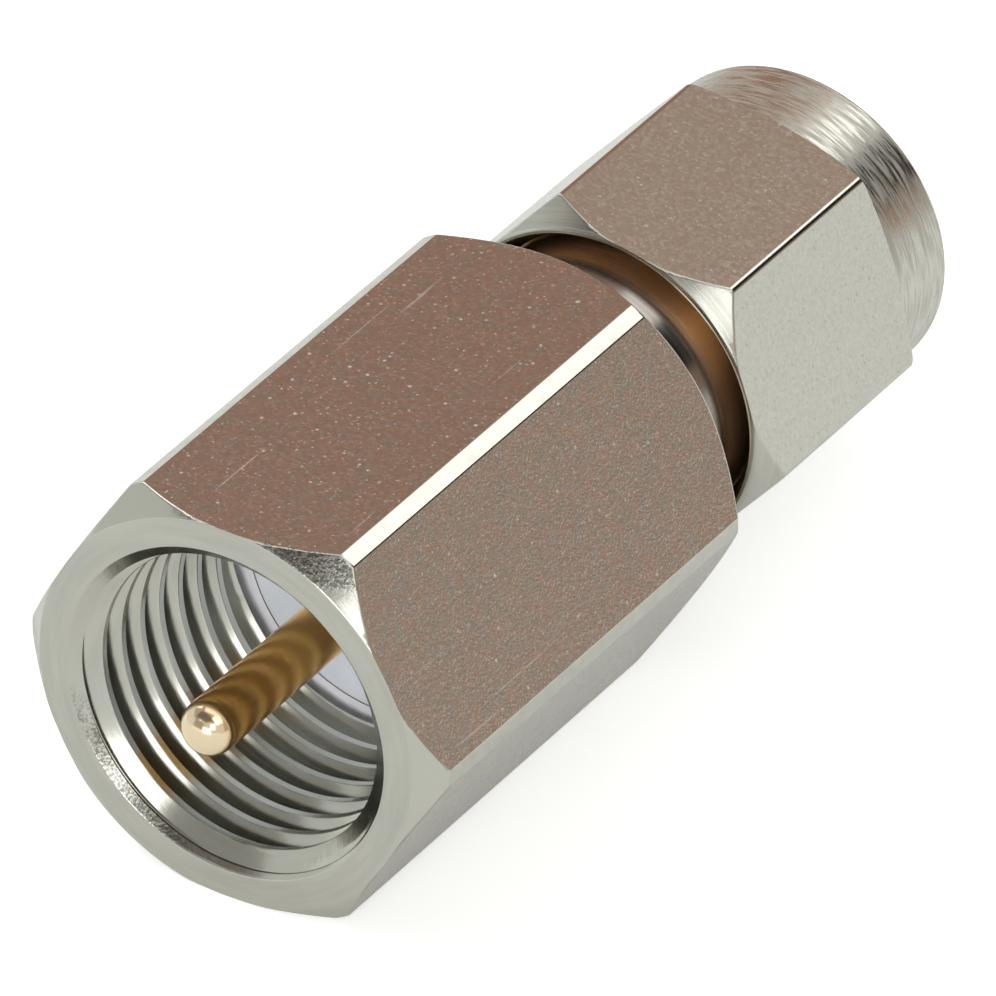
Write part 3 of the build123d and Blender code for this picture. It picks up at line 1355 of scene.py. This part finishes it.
@dataclass
class SealingGasket(Piece):
    """Soft washer round the sleeve, with rounded rims."""

    node: str = "sealing_gasket"
    inner_r: float = 2.315
    outer_r: float = 3.1
    start: float = 17.9
    end: float = 18.5
    edge_width: float = 0.14

    def build(self, finish: RedSilicone) -> bpy.types.Object:
        """Turn the washer, round its rims and place it.

        Args:
            finish: The piece's finish.

        Returns:
            The finished piece.
        """
        blank = spun(ring_outline(self.inner_r, self.outer_r, self.start, self.end))
        round_edges(blank, self.edge_width, 4)
        mesh = shaded(carved(blank, []))
        return self.place(mesh, "gasket_washer", finish.slot, [finish.material()])


@dataclass
class RetainingRing(Piece):
    """Split spring ring, shut in between the neck and the nut."""

    node: str = "retaining_ring"
    inner_r: float = 3.21
    outer_r: float = 3.66
    start: float = 16.25
    end: float = 16.75
    gap: float = 0.9
    slit_size: float = 2.0
    edge_width: float = 0.05

    def build(self, finish: SpringBronze) -> bpy.types.Object:
        """Turn the ring, open its gap at the top and place it.

        Args:
            finish: The piece's finish.

        Returns:
            The finished piece.
        """
        blank = spun(ring_outline(self.inner_r, self.outer_r, self.start, self.end))
        round_edges(blank, self.edge_width, 2)
        slit = bmesh.new()
        bmesh.ops.create_cube(slit, size=1.0)
        bmesh.ops.scale(slit, vec=(self.gap, self.slit_size, self.slit_size), verts=slit.verts[:])
        middle = (self.start + self.end) / 2
        bmesh.ops.translate(slit, vec=(0.0, middle, self.outer_r), verts=slit.verts[:])
        mesh = shaded(carved(blank, [slit]))
        return self.place(mesh, "spring_ring", finish.slot, [finish.material()])


# Studio


def looking_from(azimuth: float, elevation: float) -> Vector:
    """Return the direction from the adapter to a place round it.

    Args:
        azimuth: Degrees round the adapter, 0 in front of the socket and 90 on its right.
        elevation: Degrees above the floor.

    Returns:
        A unit vector.
    """
    turn, rise = math.radians(azimuth), math.radians(elevation)
    return Vector((math.sin(turn) * math.cos(rise), -math.cos(turn) * math.cos(rise), math.sin(rise)))


def facing(place: Vector, outward: Vector, roll: float = 0.0) -> Matrix:
    """Return the transform of a thing that looks back along a direction.

    Args:
        place: Where it stands, in metres.
        outward: Unit vector from what it looks at towards it.
        roll: Angle that it is turned by about that direction, in degrees.

    Returns:
        The transform.
    """
    turn = outward.to_track_quat("Z", "Y").to_matrix() @ Matrix.Rotation(math.radians(roll), 3, "Z")
    return Matrix.Translation(place) @ turn.to_4x4()


@dataclass(frozen=True)
class PhotoCamera:
    """Camera of the photograph: a long lens from the front, the right and above."""

    lens: float = 717.6
    azimuth: float = 31.938
    elevation: float = 33.969
    roll: float = 1.043
    distance: float = 435.66
    aim: tuple[float, float, float] = (-0.117, 11.159, -0.684)
    sensor: float = 36.0
    clip: tuple[float, float] = (0.01, 20.0)

    def build(self) -> bpy.types.Object:
        """Make the camera and give it to the scene.

        Returns:
            The camera.
        """
        data = bpy.data.cameras.new("photo_camera")
        data.lens = self.lens
        data.sensor_width = self.sensor
        data.clip_start, data.clip_end = self.clip
        camera = bpy.data.objects.new("photo_camera", data)
        back = looking_from(self.azimuth, self.elevation)
        place = (Vector(self.aim) + back * self.distance) * MM
        camera.matrix_world = facing(place, back, self.roll)
        bpy.context.scene.collection.objects.link(camera)
        bpy.context.scene.camera = camera
        return camera


@dataclass(frozen=True)
class Card:
    """A plain board that only polished metal sees."""

    name: str
    azimuth: float
    elevation: float
    spread: tuple[float, float]
    distance: float
    colour: Colour
    strength: float = 1.0
    roll: float = 0.0

    def build(self, centre: Vector) -> bpy.types.Object:
        """Hang the card round a centre, facing it.

        Args:
            centre: The point that the card faces, in metres.

        Returns:
            The card, declared as stage.
        """
        across, up = (2 * self.distance * math.tan(math.radians(angle / 2)) for angle in self.spread)
        outward = looking_from(self.azimuth, self.elevation)
        place = facing(centre + outward * self.distance, outward, self.roll)
        bm = bmesh.new()
        bmesh.ops.create_grid(bm, x_segments=1, y_segments=1, size=0.5)
        bmesh.ops.scale(bm, vec=(across, up, 1.0), verts=bm.verts[:])
        bmesh.ops.transform(bm, matrix=place, verts=bm.verts[:])
        card = workbench_object(bm, self.name)
        card.data.materials.append(self.material())
        card.visible_camera = False
        card.visible_diffuse = False
        card.visible_shadow = False
        card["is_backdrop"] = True
        return card

    def material(self) -> bpy.types.Material:
        """Make the card's own even glow.

        Returns:
            The finished material.
        """
        material = bpy.data.materials.new(self.name)
        material.use_nodes = True
        tree = material.node_tree
        tree.nodes.clear()
        glow = tree.nodes.new("ShaderNodeEmission")
        glow.inputs["Color"].default_value = (*self.colour, 1.0)
        glow.inputs["Strength"].default_value = self.strength
        output = tree.nodes.new("ShaderNodeOutputMaterial")
        tree.links.new(glow.outputs["Emission"], output.inputs["Surface"])
        return material


@dataclass(frozen=True)
class Lamp:
    """A square soft lamp, which metal doesn't show."""

    name: str
    azimuth: float
    elevation: float
    distance: float
    size: float
    power: float

    def build(self, centre: Vector) -> bpy.types.Object:
        """Hang the lamp round a centre, facing it.

        Args:
            centre: Middle of the adapter, in metres.

        Returns:
            The lamp.
        """
        data = bpy.data.lights.new(self.name, "AREA")
        data.size = self.size
        data.energy = self.power
        lamp = bpy.data.objects.new(self.name, data)
        outward = looking_from(self.azimuth, self.elevation)
        lamp.matrix_world = facing(centre + outward * self.distance, outward)
        lamp.visible_glossy = False
        lamp.visible_camera = False
        bpy.context.scene.collection.objects.link(lamp)
        return lamp


CARDS = (
    Card("brown_wall", 180.0, 22.0, (110.0, 46.0), 1.3, (0.39, 0.222, 0.163)),
    Card("brown_side", 102.0, 22.0, (70.0, 46.0), 1.3, (0.46, 0.35, 0.285)),
    Card("ceiling", 180.0, 85.0, (100.0, 100.0), 1.4, (0.40, 0.33, 0.29)),
    Card("top_light", 180.0, 82.0, (50.0, 34.0), 1.2, (1.0, 1.0, 0.98), 1.05),
    Card("box_halo", 174.0, 43.0, (48.0, 50.0), 1.05, (0.49, 0.35, 0.285), 1.0, 17.0),
    Card("soft_box", 168.0, 44.0, (23.0, 44.0), 0.9, (1.0, 1.0, 0.98), 1.8, 17.0),
    Card("black_flag", 143.0, 28.4, (28.0, 48.0), 0.88, (0.02, 0.022, 0.026), 1.0, 50.0),
    Card("left_window", -114.0, 40.0, (24.0, 28.0), 1.0, (1.0, 1.0, 0.98), 2.0),
    Card("front_window", 37.0, 27.0, (18.0, 22.0), 1.0, (1.0, 1.0, 1.0), 2.0),
    Card("right_wall", 58.0, 22.0, (56.0, 40.0), 1.15, (0.64, 0.62, 0.58)),
    Card("right_window", 72.0, 50.0, (32.0, 32.0), 1.0, (1.0, 1.0, 0.98), 1.6),
    Card("front_wall", 15.0, 28.0, (60.0, 36.0), 1.15, (0.58, 0.56, 0.53)),
    Card("front_shade", -14.0, 57.0, (110.0, 30.0), 1.1, (0.15, 0.13, 0.12)),
    Card("low_lamp", 12.0, 8.0, (28.0, 22.0), 0.95, (1.0, 1.0, 0.98), 2.8),
    Card("dark_corner", -23.0, 20.0, (38.0, 28.0), 1.05, (0.33, 0.32, 0.30)),
    Card("left_screen", -78.0, 14.0, (70.0, 34.0), 1.2, (0.66, 0.67, 0.64)),
    Card("left_shade", -78.0, 50.0, (70.0, 40.0), 1.25, (0.38, 0.36, 0.34)),
)

LAMPS = (
    Lamp("left_lamp", -75.0, 50.0, 0.6, 0.5, 1.2),
    Lamp("front_lamp", 14.0, 12.0, 0.6, 0.3, 2.5),
)


@dataclass(frozen=True)
class Studio:
    """Pale floor, soft lamps and the boards that the metal reflects."""

    floor_z: float = -4.75
    floor_half: float = 3.0
    floor_colour: Colour = (0.74, 0.745, 0.72)
    # Painted light: a glow that every ray sees, rising along the floor from in front of the socket to behind
    # the adapter
    painted_floor_glow: tuple[float, float] = (0.06, 0.21)
    painted_glow_reach: tuple[float, float] = (-8.0, 25.0)
    white_glow: float = 0.44
    world_light: float = 0.62
    cards: tuple[Card, ...] = CARDS
    lamps: tuple[Lamp, ...] = LAMPS

    def build(self, centre: Vector) -> None:
        """Lay the floor, hang the cards and lamps and light the world.

        Args:
            centre: Middle of the adapter, in metres.
        """
        self.lay_floor()
        for item in (*self.cards, *self.lamps):
            item.build(centre)
        self.light_world()

    def lay_floor(self) -> None:
        """Make the pale floor, white to the camera where no shadow falls."""
        bm = bmesh.new()
        bmesh.ops.create_grid(bm, x_segments=1, y_segments=1, size=self.floor_half)
        bmesh.ops.translate(bm, vec=(0.0, 0.0, self.floor_z * MM), verts=bm.verts[:])
        floor = workbench_object(bm, "floor")
        floor.data.materials.append(self.floor_paint())
        floor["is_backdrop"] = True

    def floor_paint(self) -> bpy.types.Material:
        """Make the floor's paint, which glows a little as painted light that the metal reflects, weakest in
        front of the socket as painted shade, and more to the camera alone.

        Returns:
            The finished material.
        """
        material = bpy.data.materials.new("pale_floor")
        material.use_nodes = True
        tree = material.node_tree
        tree.nodes.clear()
        paint = tree.nodes.new("ShaderNodeBsdfDiffuse")
        paint.inputs["Color"].default_value = (*self.floor_colour, 1.0)
        path = tree.nodes.new("ShaderNodeLightPath")
        share = tree.nodes.new("ShaderNodeMath")
        share.operation = "MULTIPLY_ADD"
        share.inputs[1].default_value = self.white_glow
        where = tree.nodes.new("ShaderNodeTexCoord")
        station = tree.nodes.new("ShaderNodeSeparateXYZ")
        # Painted light and shade: the glow rises from front to back, so the metal reflects a darker floor in
        # front
        rise = tree.nodes.new("ShaderNodeMapRange")
        limits = [reach * MM for reach in self.painted_glow_reach] + list(self.painted_floor_glow)
        for socket, limit in zip(("From Min", "From Max", "To Min", "To Max"), limits):
            rise.inputs[socket].default_value = limit
        tree.links.new(where.outputs["Object"], station.inputs[0])
        tree.links.new(station.outputs["Y"], rise.inputs["Value"])
        tree.links.new(rise.outputs["Result"], share.inputs[2])
        glow = tree.nodes.new("ShaderNodeEmission")
        both = tree.nodes.new("ShaderNodeAddShader")
        output = tree.nodes.new("ShaderNodeOutputMaterial")
        tree.links.new(path.outputs["Is Camera Ray"], share.inputs[0])
        tree.links.new(share.outputs[0], glow.inputs["Strength"])
        tree.links.new(paint.outputs["BSDF"], both.inputs[0])
        tree.links.new(glow.outputs["Emission"], both.inputs[1])
        tree.links.new(both.outputs["Shader"], output.inputs["Surface"])
        return material

    def light_world(self) -> None:
        """Fill the world with even light, and show it white to the camera and in mirrors."""
        world = bpy.data.worlds.new("studio")
        bpy.context.scene.world = world
        world.use_nodes = True
        tree = world.node_tree
        sky = tree.nodes["Background"]
        sky.inputs["Color"].default_value = (1.0, 1.0, 1.0, 1.0)
        path = tree.nodes.new("ShaderNodeLightPath")
        mirrored = tree.nodes.new("ShaderNodeMath")
        mirrored.operation = "MAXIMUM"
        seen = tree.nodes.new("ShaderNodeMath")
        seen.operation = "MAXIMUM"
        level = tree.nodes.new("ShaderNodeMapRange")
        level.inputs["To Min"].default_value = self.world_light
        level.inputs["To Max"].default_value = 1.0
        tree.links.new(path.outputs["Is Glossy Ray"], mirrored.inputs[0])
        tree.links.new(path.outputs["Is Transmission Ray"], mirrored.inputs[1])
        tree.links.new(path.outputs["Is Camera Ray"], seen.inputs[0])
        tree.links.new(mirrored.outputs[0], seen.inputs[1])
        tree.links.new(seen.outputs[0], level.inputs["Value"])
        tree.links.new(level.outputs["Result"], sky.inputs["Strength"])


def main() -> None:
    """Load the frame, build the adapter piece by piece, and set the studio round it."""
    logging.basicConfig(level=logging.INFO, format="%(name)s: %(message)s")
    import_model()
    cad_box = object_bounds()
    centre = (cad_box[0] + cad_box[1]) / 2

    metal = [NickelPlate(tooling).material() for tooling in Tooling if tooling is not Tooling.BARE]
    metal.append(BareBrass().material())
    AdapterBody().build(metal)
    CouplingNut().build(metal)
    CentreContact().build(GoldPlate())
    white = WhiteBush()
    white_material = white.material()
    socket_bush = Bush(
        node="fme_insulator",
        name="socket_bush",
        section=((0.91, 6.2), (3.45, 6.2), (3.45, 10.2), (1.31, 10.2), (1.31, 9.4), (0.91, 9.4)),
    )
    plug_bush = Bush(
        node="sma_insulator",
        name="plug_bush",
        section=((0.645, 10.2), (2.6, 10.2), (2.6, 11.2), (2.05, 11.2), (2.05, 19.9), (0.645, 19.9)),
    )
    for bush in (socket_bush, plug_bush):
        bush.build(white, white_material)
    SealingGasket().build(RedSilicone())
    RetainingRing().build(SpringBronze())

    PhotoCamera().build()
    Studio().build(centre)
    bpy.context.scene.view_settings.view_transform = "Standard"


if __name__ == "__main__":
    main()
